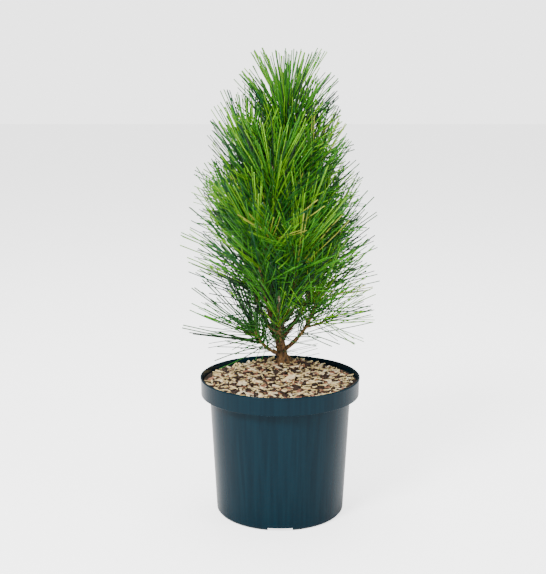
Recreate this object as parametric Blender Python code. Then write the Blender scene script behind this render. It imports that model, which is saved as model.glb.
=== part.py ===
"""A young columnar black pine in a round nursery pot, filled and mulched with bark chips.

Metres, +Z up. The origin is the middle of the pot's underside, and -Y is the front.
The plant is a leader with side shoots in whorls. Each side shoot is one curve: its bare foot
is a bough, and the stretch that carries needles is the stem of a mass of foliage.
"""

import math
import random

import bmesh
import bpy
import numpy as np
from mathutils import Vector

UP = Vector((0, 0, 1))

# Pot: outer sizes of a 19 cm container
RIM_RADIUS = 0.0950
POT_HEIGHT = 0.1660
COLLAR_FOOT_RADIUS = 0.0941
COLLAR_HEIGHT = 0.0215
WALL_TOP_RADIUS = 0.0838
WALL_FOOT_RADIUS = 0.0764
WALL = 0.0014
LIP = 0.0020
FOOT_RING_INNER = 0.0670
FOOT_RING_OUTER = 0.0738
FOOT_EDGE = 0.0030
CENTRE_FOOT_RADIUS = 0.0200
FLOOR_UNDERSIDE = 0.0042
FLOOR_TOP = 0.0060
POT_SIDES = 48
EDGE = 0.0005
UNDER_COLLAR = 0.0012
COLLAR_EDGE = 0.0010
COLLAR_FLOOR = 0.0006
NOTCHES = 4
NOTCH_WIDTH = 0.0290
NOTCH_HEIGHT = 0.0038
DRAIN_HOLE_RADIUS = 0.0060
DRAIN_HOLE_REACH = 0.0540
DRAIN_HOLE_SIDES = 10
CUT_PAST = 0.0030
NOTCH_FLANK = 1.12

# Filling: its edge lies below the rim, and it is heaped round the trunk
GAP = 0.0003
FILL_EDGE_HEIGHT = 0.1590
SEAT_RADIUS = 0.0145
HEAP_RINGS = 7
HEAP_ROUGHNESS = 0.0016
HEAP_STEEPNESS = 1.4

# Trunk: where the leader leans at each height, from the filling to its tip
TRUNK_FOOT_HEIGHT = 0.1780
TRUNK_TIP_HEIGHT = 0.4810
TRUNK_LEAN = (
    (0.0050, 0.0120, 0.1780),
    (0.0000, 0.0085, 0.2050),
    (-0.0050, 0.0050, 0.2450),
    (-0.0025, 0.0020, 0.3100),
    (0.0035, 0.0000, 0.3800),
    (0.0065, 0.0000, 0.4300),
    (0.0070, 0.0000, 0.4810),
)
TRUNK_RADIUS = 0.0062
TRUNK_TIP_RADIUS = 0.0027
FLARE = 0.0036
FLARE_HEIGHT = 0.0120
FLARE_LOBES = 5
LOBE_DEPTH = 0.22
TRUNK_SIDES = 12
FLARE_RINGS = (0, 0.25, 0.6)
TRUNK_RINGS = 14
BUD_HEIGHT = 0.0180
BUD_RADIUS = 0.0036
BUD_SIDES = 8
BUD_SHAPE = ((0, 0.66), (0.14, 0.95), (0.36, 1.0), (0.62, 0.78), (0.84, 0.42), (1.0, 0.12))

# Side shoots: (name, degrees round from +X, height of the foot on the trunk, reach from the
# trunk, height of the tip, needle length, side twigs)
SHOOTS = (
    ("left_low", 206, 0.1880, 0.036, 0.2240, 0.098, 0),
    ("back_low", 88, 0.1910, 0.044, 0.2660, 0.096, 0),
    ("right_low", 338, 0.1930, 0.046, 0.2740, 0.088, 0),
    ("front_low", 266, 0.1975, 0.038, 0.2600, 0.086, 0),
    ("left_middle", 174, 0.2050, 0.046, 0.3480, 0.090, 1),
    ("right_middle", 8, 0.2080, 0.052, 0.3320, 0.086, 1),
    ("back_left", 118, 0.2120, 0.046, 0.3440, 0.096, 1),
    ("back_right", 58, 0.2160, 0.046, 0.3520, 0.096, 1),
    ("front_left", 236, 0.2150, 0.044, 0.3420, 0.092, 1),
    ("front_right", 304, 0.2200, 0.044, 0.3360, 0.092, 1),
    ("right_upper", 344, 0.2580, 0.043, 0.4160, 0.080, 1),
    ("left_upper", 198, 0.2640, 0.032, 0.4340, 0.080, 0),
    ("front_upper", 264, 0.2700, 0.035, 0.4080, 0.084, 0),
    ("back_upper", 128, 0.2740, 0.036, 0.4200, 0.086, 0),
    ("top_shoot", 50, 0.2780, 0.032, 0.4460, 0.082, 0),
)
BOUGH_RADIUS = 0.0027
SHOOT_TIP_RADIUS = 0.0020
BOUGH_SHARE = 0.28
BEND_REACH = 0.86
BEND_RISE = 0.34
BOUGH_SIDES = 7
BOUGH_RINGS = 6
BARE_PIECES = 3
STEM_SIDES = 5
SHOOT_STEPS = 12
SHOOT_BUD = 0.0110
SHOOT_BUD_RADIUS = 0.0026
SHOOT_BUD_SHAPE = ((0.35, 1.0), (0.75, 0.6), (1.0, 0.15))
STEM_RING_SPACING = 0.018
FIRST_SPRAY = 0.004

# Side twigs of the shoots
TWIG_LENGTH = 0.032
TWIG_OPENING = math.radians(36)
TWIG_RADIUS = 0.0016
TWIG_SIDES = 3
TWIG_STEPS = 3
TWIG_ROOM = 0.045
TWIG_FIRST_PLACE = 0.52
TWIG_PLACE_STEP = 0.15
TWIG_SAG = 0.07
TWIG_BARE_SHARE = 0.3
TWIG_NEEDLE_SHARE = 0.92
TWIG_TAPER = 0.12

# Sleeve round the leader that its own needles stand on
SLEEVE_FOOT = 0.3600
SLEEVE_TOP = 0.4750
SLEEVE_WALL = 0.0020
LEADER_NEEDLE = 0.088
LEADER_SPRAYS = 56
LEADER_OPENING_AT_FOOT = math.radians(54)
LEADER_OPENING_AT_TIP = math.radians(16)
TRUNK_CLEARANCE = 0.00036

# Sprays: each is a toothed blade that stands for several pairs of needles
SEED = 11
GOLDEN_ANGLE = math.radians(137.508)
SPRAY_SPACING = 0.0046
TWIG_SPRAY_SPACING = 0.0070
TEETH = 5
TOOTH_SPREAD = math.radians(16)
FAN_SPREAD = 0.02
SHORTEST_TOOTH = 0.86
TOOTH_LIFT = 0.09
SPRAY_THICKNESS = 0.0013
ROOT_HALF_WIDTH = 0.0010
VALLEY_SHARE = 0.22
OPENING_AT_FOOT = math.radians(60)
OPENING_AT_TIP = math.radians(23)
OPENING_SPREAD = 0.15
CLOSING = 1.3
DROOP = 0.10
LENGTH_STEP = 0.08
LONG_SHARE = 0.80
SHORTEST_SHARE = 0.32
DIRECTIONS_TRIED = 40
FREE_PARTS = (0.2, 0.35, 0.5, 0.65, 0.8, 0.9, 1.0)
TEETH_APART = 0.0017
STEM_CLEARANCE = 0.0034
ROOT_DEPTH = 0.0015
ROLLS = (0, 0, math.radians(40), math.radians(140), math.radians(90))
MARGIN_BETWEEN_MASSES = 0.0042
MARGIN_TO_LIMBS = 0.0012
LOWEST_NEEDLE = 0.1850

PLASTIC = ("pot_plastic", (0.020, 0.060, 0.080), 0.32)
BARK_CHIPS = ("bark_chips", (0.42, 0.30, 0.18), 0.90)
BARK = ("young_bark", (0.13, 0.085, 0.045), 0.85)
BUD_SCALES = ("bud_scales", (0.52, 0.36, 0.22), 0.75)
NEEDLES = ("needles", (0.060, 0.200, 0.035), 0.50)


def clear_scene():
    """Remove what the startup scene holds."""
    for old in list(bpy.data.objects):
        bpy.data.objects.remove(old)


def material(finish):
    """The Principled material of a (name, colour, roughness) finish, made once."""
    name, colour, roughness = finish
    made = bpy.data.materials.get(name)
    if made is None:
        made = bpy.data.materials.new(name)
        made.use_nodes = True
        shader = made.node_tree.nodes["Principled BSDF"]
        shader.inputs["Base Color"].default_value = (*colour, 1.0)
        shader.inputs["Roughness"].default_value = roughness
        shader.inputs["Metallic"].default_value = 0.0
    return made


def add_object(name, bm, finish):
    """An object of this bmesh, with its faces pointing out and its round faces shaded smooth."""
    bmesh.ops.recalc_face_normals(bm, faces=bm.faces)
    mesh = bpy.data.meshes.new(name)
    bm.to_mesh(mesh)
    bm.free()
    mesh.shade_smooth()
    mesh.set_sharp_from_angle(angle=math.radians(35))
    mesh.materials.append(material(finish))
    made = bpy.data.objects.new(name, mesh)
    bpy.context.scene.collection.objects.link(made)
    return made


def make_cutter(tool):
    """Mark an object as a cutting tool, which is not part of the model."""
    tool.hide_render = True
    tool.display_type = "WIRE"
    return tool


def cut(target, tool):
    """Take the tool's shape away from the target."""
    modifier = target.modifiers.new("cut_" + tool.name, "BOOLEAN")
    modifier.operation = "DIFFERENCE"
    modifier.solver = "EXACT"
    modifier.object = tool


def turned(profile, sides):
    """A bmesh turned about Z from (radius, height) points that start and end on the axis."""
    bm = bmesh.new()
    points = [bm.verts.new((radius, 0, height)) for radius, height in profile]
    edges = [bm.edges.new(pair) for pair in zip(points, points[1:])]
    bmesh.ops.spin(
        bm,
        geom=points + edges,
        cent=(0, 0, 0),
        axis=(0, 0, 1),
        angle=math.tau,
        steps=sides,
        use_merge=True,
    )
    bmesh.ops.remove_doubles(bm, verts=bm.verts, dist=1e-6)
    return bm


def level_circle(centre, radius, sides):
    """Points of a level ring, counted round from +X."""
    turns = (math.tau * i / sides for i in range(sides))
    return [centre + Vector((math.cos(turn), math.sin(turn), 0)) * radius for turn in turns]


def skin(bm, pairs):
    """Faces between each row of vertices and the row that follows it."""
    for row, following in pairs:
        for i in range(len(row)):
            j = (i + 1) % len(row)
            bm.faces.new((row[i], row[j], following[j], following[i]))


def loft(bm, rings):
    """Skin a list of equal rings of points, and cap its ends."""
    rows = [[bm.verts.new(point) for point in ring] for ring in rings]
    skin(bm, zip(rows, rows[1:]))
    bm.faces.new(rows[0])
    bm.faces.new(rows[-1])


def smoothstep(share):
    share = min(max(share, 0.0), 1.0)
    return share * share * (3 - 2 * share)


def build_pot():
    """One moulded shell: foot ring and centre foot, tapered wall, stepped collar and lip."""
    step_height = POT_HEIGHT - COLLAR_HEIGHT
    profile = (
        (0, 0),
        (CENTRE_FOOT_RADIUS, 0),
        (CENTRE_FOOT_RADIUS + FLOOR_UNDERSIDE / 2, FLOOR_UNDERSIDE),
        (FOOT_RING_INNER - FLOOR_UNDERSIDE / 2, FLOOR_UNDERSIDE),
        (FOOT_RING_INNER, 0),
        (FOOT_RING_OUTER, 0),
        (WALL_FOOT_RADIUS - EDGE, FOOT_EDGE / 2),
        (WALL_FOOT_RADIUS, FOOT_EDGE),
        (WALL_TOP_RADIUS, step_height - UNDER_COLLAR),
        (WALL_TOP_RADIUS + UNDER_COLLAR, step_height),
        (COLLAR_FOOT_RADIUS - COLLAR_EDGE, step_height),
        (COLLAR_FOOT_RADIUS, step_height + COLLAR_EDGE),
        (RIM_RADIUS, POT_HEIGHT - COLLAR_EDGE),
        (RIM_RADIUS - EDGE, POT_HEIGHT),
        (RIM_RADIUS - LIP + EDGE, POT_HEIGHT),
        (RIM_RADIUS - LIP, POT_HEIGHT - COLLAR_EDGE),
        (COLLAR_FOOT_RADIUS - LIP, step_height + WALL + EDGE),
        (WALL_TOP_RADIUS - WALL, step_height + WALL - COLLAR_FLOOR),
        (WALL_FOOT_RADIUS - WALL, FLOOR_TOP),
        (0, FLOOR_TOP),
    )
    pot = add_object("pot", turned(profile, POT_SIDES), PLASTIC)
    bm = bmesh.new()
    for notch in range(NOTCHES):
        angle = math.tau * (notch / NOTCHES) - math.pi / 2
        outward = Vector((math.cos(angle), math.sin(angle), 0))
        across = Vector((-outward.y, outward.x, 0)) * (NOTCH_WIDTH / 2)
        rise = UP * NOTCH_HEIGHT
        rings = []
        for reach in (FOOT_RING_INNER - CUT_PAST, WALL_FOOT_RADIUS + CUT_PAST):
            centre = outward * reach
            rings.append(
                [
                    centre - across * NOTCH_FLANK - rise,
                    centre + across * NOTCH_FLANK - rise,
                    centre + across + rise,
                    centre - across + rise,
                ]
            )
        loft(bm, rings)
        hole = outward * DRAIN_HOLE_REACH
        heights = (FLOOR_UNDERSIDE - CUT_PAST, FLOOR_TOP + CUT_PAST)
        loft(bm, [level_circle(hole + UP * z, DRAIN_HOLE_RADIUS, DRAIN_HOLE_SIDES) for z in heights])
    cut(pot, make_cutter(add_object("notches_and_drain_holes", bm, PLASTIC)))


def trunk_axis(height):
    """Where the trunk's axis is at a height: a smooth curve through the leaning points."""
    points = [Vector(point) for point in TRUNK_LEAN]
    last = len(points) - 2
    at = next((i for i in range(last) if height < points[i + 1].z), last)
    before = points[max(at - 1, 0)]
    start, end = points[at], points[at + 1]
    after = points[min(at + 2, len(points) - 1)]
    share = (height - start.z) / (end.z - start.z)
    slope_in = (end - before) * ((end.z - start.z) / (end.z - before.z))
    slope_out = (after - start) * ((end.z - start.z) / (after.z - start.z))
    ahead = smoothstep(share)
    rise_in = share * (1 - share) ** 2
    rise_out = share * share * (share - 1)
    place = start.lerp(end, ahead) + slope_in * rise_in + slope_out * rise_out
    return Vector((place.x, place.y, height))


def trunk_radius(height):
    """The trunk's mean radius: an even taper, widened at the ground by the root flare."""
    share = (height - TRUNK_FOOT_HEIGHT) / (TRUNK_TIP_HEIGHT - TRUNK_FOOT_HEIGHT)
    taper = TRUNK_RADIUS + (TRUNK_TIP_RADIUS - TRUNK_RADIUS) * share
    above = (height - TRUNK_FOOT_HEIGHT) / FLARE_HEIGHT
    return taper + FLARE * (1 - smoothstep(above))


def trunk_ring(height, wider=0.0):
    """A level ring round the trunk. The flare swells into a few root lobes."""
    centre = trunk_axis(height)
    lobes = LOBE_DEPTH * (1 - smoothstep((height - TRUNK_FOOT_HEIGHT) / FLARE_HEIGHT))
    ring = []
    for i in range(TRUNK_SIDES):
        angle = math.tau * i / TRUNK_SIDES
        radius = trunk_radius(height) * (1 + lobes * math.cos(FLARE_LOBES * angle)) + wider
        ring.append(centre + Vector((math.cos(angle), math.sin(angle), 0)) * radius)
    return ring


def trunk_heights():
    """Heights of the trunk's rings, closer together in the flare."""
    flare = [TRUNK_FOOT_HEIGHT + FLARE_HEIGHT * share for share in FLARE_RINGS]
    step = (TRUNK_TIP_HEIGHT - TRUNK_FOOT_HEIGHT) / (TRUNK_RINGS + 1)
    return flare + [TRUNK_FOOT_HEIGHT + step * (i + 1) for i in range(TRUNK_RINGS + 1)]


def build_trunk():
    """The leader, from its flat cut on the filling to its tip, and the bud that it ends in."""
    bm = bmesh.new()
    loft(bm, [trunk_ring(height) for height in trunk_heights()])
    add_object("trunk", bm, BARK)
    bm = bmesh.new()
    foot = trunk_axis(TRUNK_TIP_HEIGHT) + UP * GAP
    rings = []
    for rise, width in BUD_SHAPE:
        rings.append(level_circle(foot + UP * BUD_HEIGHT * rise, BUD_RADIUS * width, BUD_SIDES))
    loft(bm, rings)
    add_object("leader_bud", bm, BUD_SCALES)


def build_filling():
    """Potting mix and bark chips: it fills the pot, and heaps up to a level seat at the trunk."""
    rng = random.Random(SEED)
    step_height = POT_HEIGHT - COLLAR_HEIGHT + WALL
    seat_height = TRUNK_FOOT_HEIGHT - GAP
    foot = trunk_axis(TRUNK_FOOT_HEIGHT)
    clear = GAP / math.cos(math.pi / POT_SIDES)

    def circle(radius, height, toward=0.0):
        """A ring round the pot's axis, or drawn in towards the trunk's foot."""
        return level_circle(Vector((foot.x * toward, foot.y * toward, height)), radius, POT_SIDES)

    collar_inside = COLLAR_FOOT_RADIUS - LIP - clear
    rings = [
        circle(WALL_FOOT_RADIUS - WALL - clear, FLOOR_TOP + GAP),
        circle(WALL_TOP_RADIUS - WALL - clear, step_height - COLLAR_FLOOR + GAP),
        circle(collar_inside, step_height + EDGE + GAP),
        circle(collar_inside + EDGE / 2, FILL_EDGE_HEIGHT),
    ]
    for ring in range(1, HEAP_RINGS + 1):
        share = ring / HEAP_RINGS
        radius = collar_inside + (SEAT_RADIUS - collar_inside) * share
        height = FILL_EDGE_HEIGHT + (seat_height - FILL_EDGE_HEIGHT) * smoothstep(share) ** HEAP_STEEPNESS
        points = circle(radius, height, toward=share)
        if ring < HEAP_RINGS:
            for point in points:
                point.z += rng.uniform(-HEAP_ROUGHNESS, HEAP_ROUGHNESS)
        rings.append(points)
    bm = bmesh.new()
    loft(bm, rings)
    add_object("bark_filling", bm, BARK_CHIPS)


class Limb:
    """A curve that grows from a start point, with its frame and its taper along it."""

    def __init__(self, points, side, foot_radius, tip_radius):
        self.points = points
        self.side = side
        self.foot_radius = foot_radius
        self.tip_radius = tip_radius
        self.reached = [0.0]
        for start, end in zip(points, points[1:]):
            self.reached.append(self.reached[-1] + (end - start).length)
        self.length = self.reached[-1]

    def at(self, distance):
        """The point at a distance along the limb, and the limb's direction there."""
        last = len(self.points) - 1
        i = next((i for i in range(1, last) if distance < self.reached[i]), last)
        start, end = self.points[i - 1], self.points[i]
        share = (distance - self.reached[i - 1]) / (self.reached[i] - self.reached[i - 1])
        return start.lerp(end, share), (end - start).normalized()

    def radius(self, distance):
        return self.foot_radius + (self.tip_radius - self.foot_radius) * distance / self.length

    def across(self, distance, turn):
        """The unit vector square to the limb at a turn round it."""
        _, along = self.at(distance)
        other = self.side.cross(along).normalized()
        return self.side * math.cos(turn) + other * math.sin(turn)

    def ring(self, distance, radius, sides):
        place, _ = self.at(distance)
        return [place + self.across(distance, math.tau * i / sides) * radius for i in range(sides)]


def bezier(start, bend, end, steps):
    """Points of a quadratic curve."""
    return [
        start * (1 - t) ** 2 + bend * (2 * t * (1 - t)) + end * t * t
        for t in (i / steps for i in range(steps + 1))
    ]


def side_shoot(azimuth, foot_height, reach, tip_height):
    """A side shoot's curve: out of the trunk at a slant, then up to its tip."""
    turn = math.radians(azimuth)
    outward = Vector((math.cos(turn), math.sin(turn), 0))
    start = trunk_axis(foot_height)
    rise = tip_height - foot_height
    bend = start + outward * reach * BEND_REACH + UP * rise * BEND_RISE
    end = start + outward * reach + UP * rise
    side = Vector((-outward.y, outward.x, 0))
    return Limb(bezier(start, bend, end, SHOOT_STEPS), side, BOUGH_RADIUS, SHOOT_TIP_RADIUS)


def side_twigs(space, owner, shoot, count, rng):
    """Short twigs off a shoot, each at the first turn round it that keeps to the shoot's space."""
    twigs = []
    turn = rng.uniform(0, math.tau)
    for number in range(count):
        distance = shoot.length * (TWIG_FIRST_PLACE + TWIG_PLACE_STEP * number)
        place, along = shoot.at(distance)
        for _ in range(DIRECTIONS_TRIED):
            turn += GOLDEN_ANGLE
            outward = shoot.across(distance, turn)
            way = along * math.cos(TWIG_OPENING) + outward * math.sin(TWIG_OPENING)
            bend = place + way * TWIG_LENGTH / 2 - UP * TWIG_LENGTH * TWIG_SAG
            points = bezier(place, bend, place + way * TWIG_LENGTH, TWIG_STEPS)
            if space.keeps(owner, [*points[1:], place + way * TWIG_ROOM]):
                twig = Limb(points, way.cross(along).normalized(), TWIG_RADIUS, TWIG_RADIUS)
                space.add_stem(owner, twig.points)
                twigs.append(twig)
                break
    return twigs


class Space:
    """Who owns each point of the crown: the mass whose needle-bearing stems are nearest to it."""

    def __init__(self):
        self.starts, self.runs, self.owners = np.empty((0, 3)), np.empty((0, 3)), np.empty(0)
        self.limb_starts, self.limb_runs, self.limb_radii = np.empty((0, 3)), np.empty((0, 3)), np.empty(0)

    def add_stem(self, owner, points):
        """A stretch that carries its owner's needles."""
        points = np.array(points)
        self.starts = np.vstack((self.starts, points[:-1]))
        self.runs = np.vstack((self.runs, np.diff(points, axis=0)))
        self.owners = np.append(self.owners, np.full(len(points) - 1, owner))

    def add_limb(self, points, radii):
        """A bare limb, which needles stay clear of, with its radius at the end of each piece."""
        points = np.array(points)
        self.limb_starts = np.vstack((self.limb_starts, points[:-1]))
        self.limb_runs = np.vstack((self.limb_runs, np.diff(points, axis=0)))
        self.limb_radii = np.append(self.limb_radii, radii[:-1])

    def keeps(self, owner, points):
        """True if the points are their owner's, with a margin, and clear of every bare limb."""
        points = np.array(points)
        if points[:, 2].min() < LOWEST_NEEDLE:
            return False
        if (distances(points, self.limb_starts, self.limb_runs) < self.limb_radii + MARGIN_TO_LIMBS).any():
            return False
        apart = distances(points, self.starts, self.runs)
        own = apart[:, self.owners == owner].min(axis=1)
        others = apart[:, self.owners != owner].min(axis=1)
        return (own + MARGIN_BETWEEN_MASSES <= others).all()

    def off_stem(self, owner, points):
        """True if the points are clear of their owner's own stem and twigs."""
        own = self.owners == owner
        return (distances(np.array(points), self.starts[own], self.runs[own]) > STEM_CLEARANCE).all()


def distances(points, starts, runs):
    """Distances from each point to each straight piece, as rows and columns."""
    offsets = points[:, None, :] - starts
    shares = (offsets * runs).sum(axis=2) / (runs * runs).sum(axis=1)
    return np.linalg.norm(offsets - shares.clip(0, 1)[:, :, None] * runs, axis=2)


def spray_points(root, way, across, length, rng):
    """A spray's valleys and tips: teeth that fan out across it and lean to either face."""
    face = across.cross(way).normalized()
    step = 2 * TOOTH_SPREAD / (TEETH - 1)
    droop = UP * DROOP * (1 - abs(way.z))
    tips, valleys = [], []
    for tooth in range(TEETH):
        fan = step * tooth - TOOTH_SPREAD + rng.uniform(-FAN_SPREAD, FAN_SPREAD)
        tooth_length = length * rng.uniform(SHORTEST_TOOTH, 1.0)
        lift = face * TOOTH_LIFT * (1 if tooth % 2 else -1) * rng.uniform(0.3, 1.0)
        tips.append(root + (way * math.cos(fan) + across * math.sin(fan) + lift - droop) * tooth_length)
        if tooth < TEETH - 1:
            between = step * (tooth + 0.5) - TOOTH_SPREAD
            middle = way * math.cos(between) + across * math.sin(between)
            valleys.append(root + middle * length * VALLEY_SHARE)
    return face, valleys, tips


def fit_spray(space, owner, teeth, spray, shortest, rng):
    """The (root, way, across, length) spray's points at the first length that keeps its space.

    It also keeps clear of the teeth that its mass has grown already, and of their own stem.
    """
    root, way, across, length = spray
    state = rng.getstate()
    share = 1.0
    while share >= shortest:
        rng.setstate(state)
        face, valleys, tips = spray_points(root, way, across, length * share, rng)
        free = [root.lerp(tip, part) for tip in tips for part in FREE_PARTS]
        if space.keeps(owner, free + valleys) and teeth.clear_of(free) and space.off_stem(owner, free):
            return root, across, face, valleys, tips
        share -= LENGTH_STEP
    return None


def spray_solid(root, across, face, valleys, tips):
    """A toothed blade: a palm from its root to its valleys, with a pointed tooth for each tip."""
    bm = bmesh.new()
    half = face * (SPRAY_THICKNESS / 2)
    inner = [root - across * ROOT_HALF_WIDTH, *valleys, root + across * ROOT_HALF_WIDTH]
    top = [bm.verts.new(point + half) for point in inner]
    bottom = [bm.verts.new(point - half) for point in inner]
    points = [bm.verts.new(tip) for tip in tips]
    for sheet in (top, bottom):
        bm.faces.new(sheet)
        for i, tip in enumerate(points):
            bm.faces.new((sheet[i], sheet[i + 1], tip))
    for i, tip in enumerate(points):
        bm.faces.new((top[i], bottom[i], tip))
        bm.faces.new((top[i + 1], bottom[i + 1], tip))
    bm.faces.new((top[-1], top[0], bottom[0], bottom[-1]))
    return bm


class Teeth:
    """The teeth that a mass has grown so far, as straight pieces."""

    def __init__(self):
        self.starts, self.runs = np.empty((0, 3)), np.empty((0, 3))

    def add(self, root, tips):
        self.starts = np.vstack((self.starts, np.array([root] * len(tips))))
        self.runs = np.vstack((self.runs, np.array(tips) - np.array(root)))

    def clear_of(self, points):
        if not len(self.starts):
            return True
        return (distances(np.array(points), self.starts, self.runs) > TEETH_APART).all()


class Growth:
    """The sprays of one mass. Its spiral goes on at each place until a spray fits there."""

    def __init__(self, space, owner, rng):
        self.space, self.owner, self.rng = space, owner, rng
        self.turn = rng.uniform(0, math.tau)
        self.teeth = Teeth()
        self.solids = []

    def grow(self, number, aim):
        """Grow one spray. aim gives the spray at a turn round its limb."""
        shortest = LONG_SHARE if number % 3 else SHORTEST_SHARE
        for _ in range(DIRECTIONS_TRIED):
            self.turn += GOLDEN_ANGLE
            root, way, across, length = aim(self.turn)
            roll = self.rng.choice(ROLLS)
            across = across * math.cos(roll) + across.cross(way) * math.sin(roll)
            spray = (root, way, across, length)
            points = fit_spray(self.space, self.owner, self.teeth, spray, shortest, self.rng)
            if points:
                self.teeth.add(points[0], points[-1])
                self.solids.append(spray_solid(*points))
                return


def grow_on_limb(growth, limb, first, spacing, needle):
    """Sprays along a limb, wide open at its foot and closing to its tip."""
    rng = growth.rng
    count = max(int((limb.length - first) / spacing), 3)
    for number in range(count):
        share = (number + 0.6) / count
        distance = first + (limb.length - first) * min(share, 0.97)
        place, along = limb.at(distance)

        def aim(turn):
            opening = OPENING_AT_FOOT + (OPENING_AT_TIP - OPENING_AT_FOOT) * share**CLOSING
            opening += rng.uniform(-OPENING_SPREAD, OPENING_SPREAD * 2 / 3)
            outward = limb.across(distance, turn)
            way = along * math.cos(opening) + outward * math.sin(opening)
            across = outward * math.cos(opening) - along * math.sin(opening)
            root = place + outward * (limb.radius(distance) - ROOT_DEPTH)
            return root, way, across, needle * (1 - 0.10 * share) * rng.uniform(0.93, 1.0)

        growth.grow(number, aim)


def grow_on_leader(growth):
    """Sprays round the leader's sleeve, rooted in its wall."""
    rng = growth.rng
    for number in range(LEADER_SPRAYS):
        share = (number + 0.5) / LEADER_SPRAYS
        height = SLEEVE_FOOT + (SLEEVE_TOP - SLEEVE_FOOT) * (0.03 + 0.95 * share**0.8)

        def aim(turn):
            outward = Vector((math.cos(turn), math.sin(turn), 0))
            root = trunk_axis(height) + outward * (trunk_radius(height) + GAP + SLEEVE_WALL * 0.55)
            opening = LEADER_OPENING_AT_FOOT
            opening += (LEADER_OPENING_AT_TIP - LEADER_OPENING_AT_FOOT) * share**CLOSING
            opening += rng.uniform(-OPENING_SPREAD, OPENING_SPREAD)
            way = UP * math.cos(opening) + outward * math.sin(opening)
            across = outward * math.cos(opening) - UP * math.sin(opening)
            return root, way, across, LEADER_NEEDLE * rng.uniform(0.92, 1.0)

        growth.grow(number, aim)


def stem_solid(limb, first):
    """The stem of a mass, from just off its bough to the bud at its tip."""
    bm = bmesh.new()
    steps = max(round((limb.length - first) / STEM_RING_SPACING), 3)
    rings = []
    for step in range(steps + 1):
        distance = first + (limb.length - first) * step / steps
        rings.append(limb.ring(distance, limb.radius(distance), STEM_SIDES))
    tip, along = limb.at(limb.length)
    for rise, width in SHOOT_BUD_SHAPE:
        shift = along * SHOOT_BUD * rise
        rings.append(
            [
                tip + shift + limb.across(limb.length, math.tau * i / STEM_SIDES) * SHOOT_BUD_RADIUS * width
                for i in range(STEM_SIDES)
            ]
        )
    loft(bm, rings)
    return bm


def twig_solid(twig):
    bm = bmesh.new()
    rings = []
    for i, place in enumerate(twig.reached):
        rings.append(twig.ring(place, TWIG_RADIUS * (1 - TWIG_TAPER * i), TWIG_SIDES))
    loft(bm, rings)
    return bm


def sleeve_solid(lower, upper):
    """A sleeve round the leader, clear of it, whose rings are the trunk's own."""
    between = [height for height in trunk_heights() if lower + SLEEVE_WALL < height < upper - SLEEVE_WALL]
    heights = [lower, *between, upper]
    outside = [trunk_ring(height, SLEEVE_WALL + GAP) for height in heights]
    inside = [trunk_ring(height, TRUNK_CLEARANCE) for height in heights]
    bm = bmesh.new()
    rows = [[bm.verts.new(point) for point in ring] for ring in outside + inside[::-1]]
    skin(bm, zip(rows, rows[1:] + rows[:1]))
    return bm


def join_mass(name, parts):
    """One closed body from a mass's stem, twigs and sprays."""
    first, *others = [add_object(f"{name}_{i}", bm, NEEDLES) for i, bm in enumerate(parts)]
    first.name = name
    first.data.name = name
    group = bpy.data.collections.new(name + "_parts")
    bpy.context.scene.collection.children.link(group)
    for other in others:
        group.objects.link(other)
        bpy.context.scene.collection.objects.unlink(other)
    modifier = first.modifiers.new("join", "BOOLEAN")
    modifier.operation = "UNION"
    modifier.operand_type = "COLLECTION"
    modifier.collection = group
    modifier.solver = "EXACT"
    bpy.context.view_layer.update()
    graph = bpy.context.evaluated_depsgraph_get()
    joined = bpy.data.meshes.new_from_object(first.evaluated_get(graph))
    first.modifiers.clear()
    first.data = joined
    for other in others:
        bpy.data.objects.remove(other)
    bpy.data.collections.remove(group)
    return first


def build_shoots_and_leader():
    """The side shoots, each a bough and its mass, and the mass on the leader."""
    leader_points = [trunk_axis(height) for height in trunk_heights()]
    space = Space()
    bud_tip = leader_points[-1] + UP * BUD_HEIGHT
    radii = [trunk_radius(point.z) for point in leader_points]
    space.add_limb([*leader_points, bud_tip], [*radii, BUD_RADIUS])
    space.add_stem(0, [point for point in leader_points if point.z > SLEEVE_FOOT])
    shoots = []
    for owner, (name, azimuth, foot, reach, tip, needle, twig_count) in enumerate(SHOOTS, 1):
        rng = random.Random(SEED + owner)
        shoot = side_shoot(azimuth, foot, reach, tip)
        first = shoot.length * BOUGH_SHARE
        bare = [shoot.at(first * i / BARE_PIECES)[0] for i in range(BARE_PIECES + 1)]
        space.add_limb(bare, [BOUGH_RADIUS] * len(bare))
        clothed = [point for point, distance in zip(shoot.points, shoot.reached) if distance > first]
        space.add_stem(owner, [shoot.at(first)[0], *clothed])
        shoots.append((owner, name, shoot, first, needle, twig_count, rng))
    twigs_of = [side_twigs(space, owner, shoot, count, rng) for owner, _, shoot, _, _, count, rng in shoots]

    clearance = bmesh.new()
    loft(clearance, [trunk_ring(height, TRUNK_CLEARANCE) for height in trunk_heights()])
    cutter = make_cutter(add_object("trunk_clearance", clearance, BARK))
    for (owner, name, shoot, first, needle, _, rng), twigs in zip(shoots, twigs_of):
        bough = bmesh.new()
        places = [first * i / (BOUGH_RINGS - 1) for i in range(BOUGH_RINGS)]
        loft(bough, [shoot.ring(place, shoot.radius(place), BOUGH_SIDES) for place in places])
        cut(add_object("bough_" + name, bough, BARK), cutter)
        growth = Growth(space, owner, rng)
        grow_on_limb(growth, shoot, first + FIRST_SPRAY, SPRAY_SPACING, needle)
        for twig in twigs:
            bare_length = twig.length * TWIG_BARE_SHARE
            grow_on_limb(growth, twig, bare_length, TWIG_SPRAY_SPACING, needle * TWIG_NEEDLE_SHARE)
        stem = stem_solid(shoot, first + GAP)
        join_mass("needles_" + name, [stem, *(twig_solid(twig) for twig in twigs), *growth.solids])
    growth = Growth(space, 0, random.Random(SEED))
    grow_on_leader(growth)
    join_mass("needles_leader", [sleeve_solid(SLEEVE_FOOT, SLEEVE_TOP), *growth.solids])


clear_scene()
build_pot()
build_filling()
build_trunk()
build_shoots_and_leader()
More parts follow.
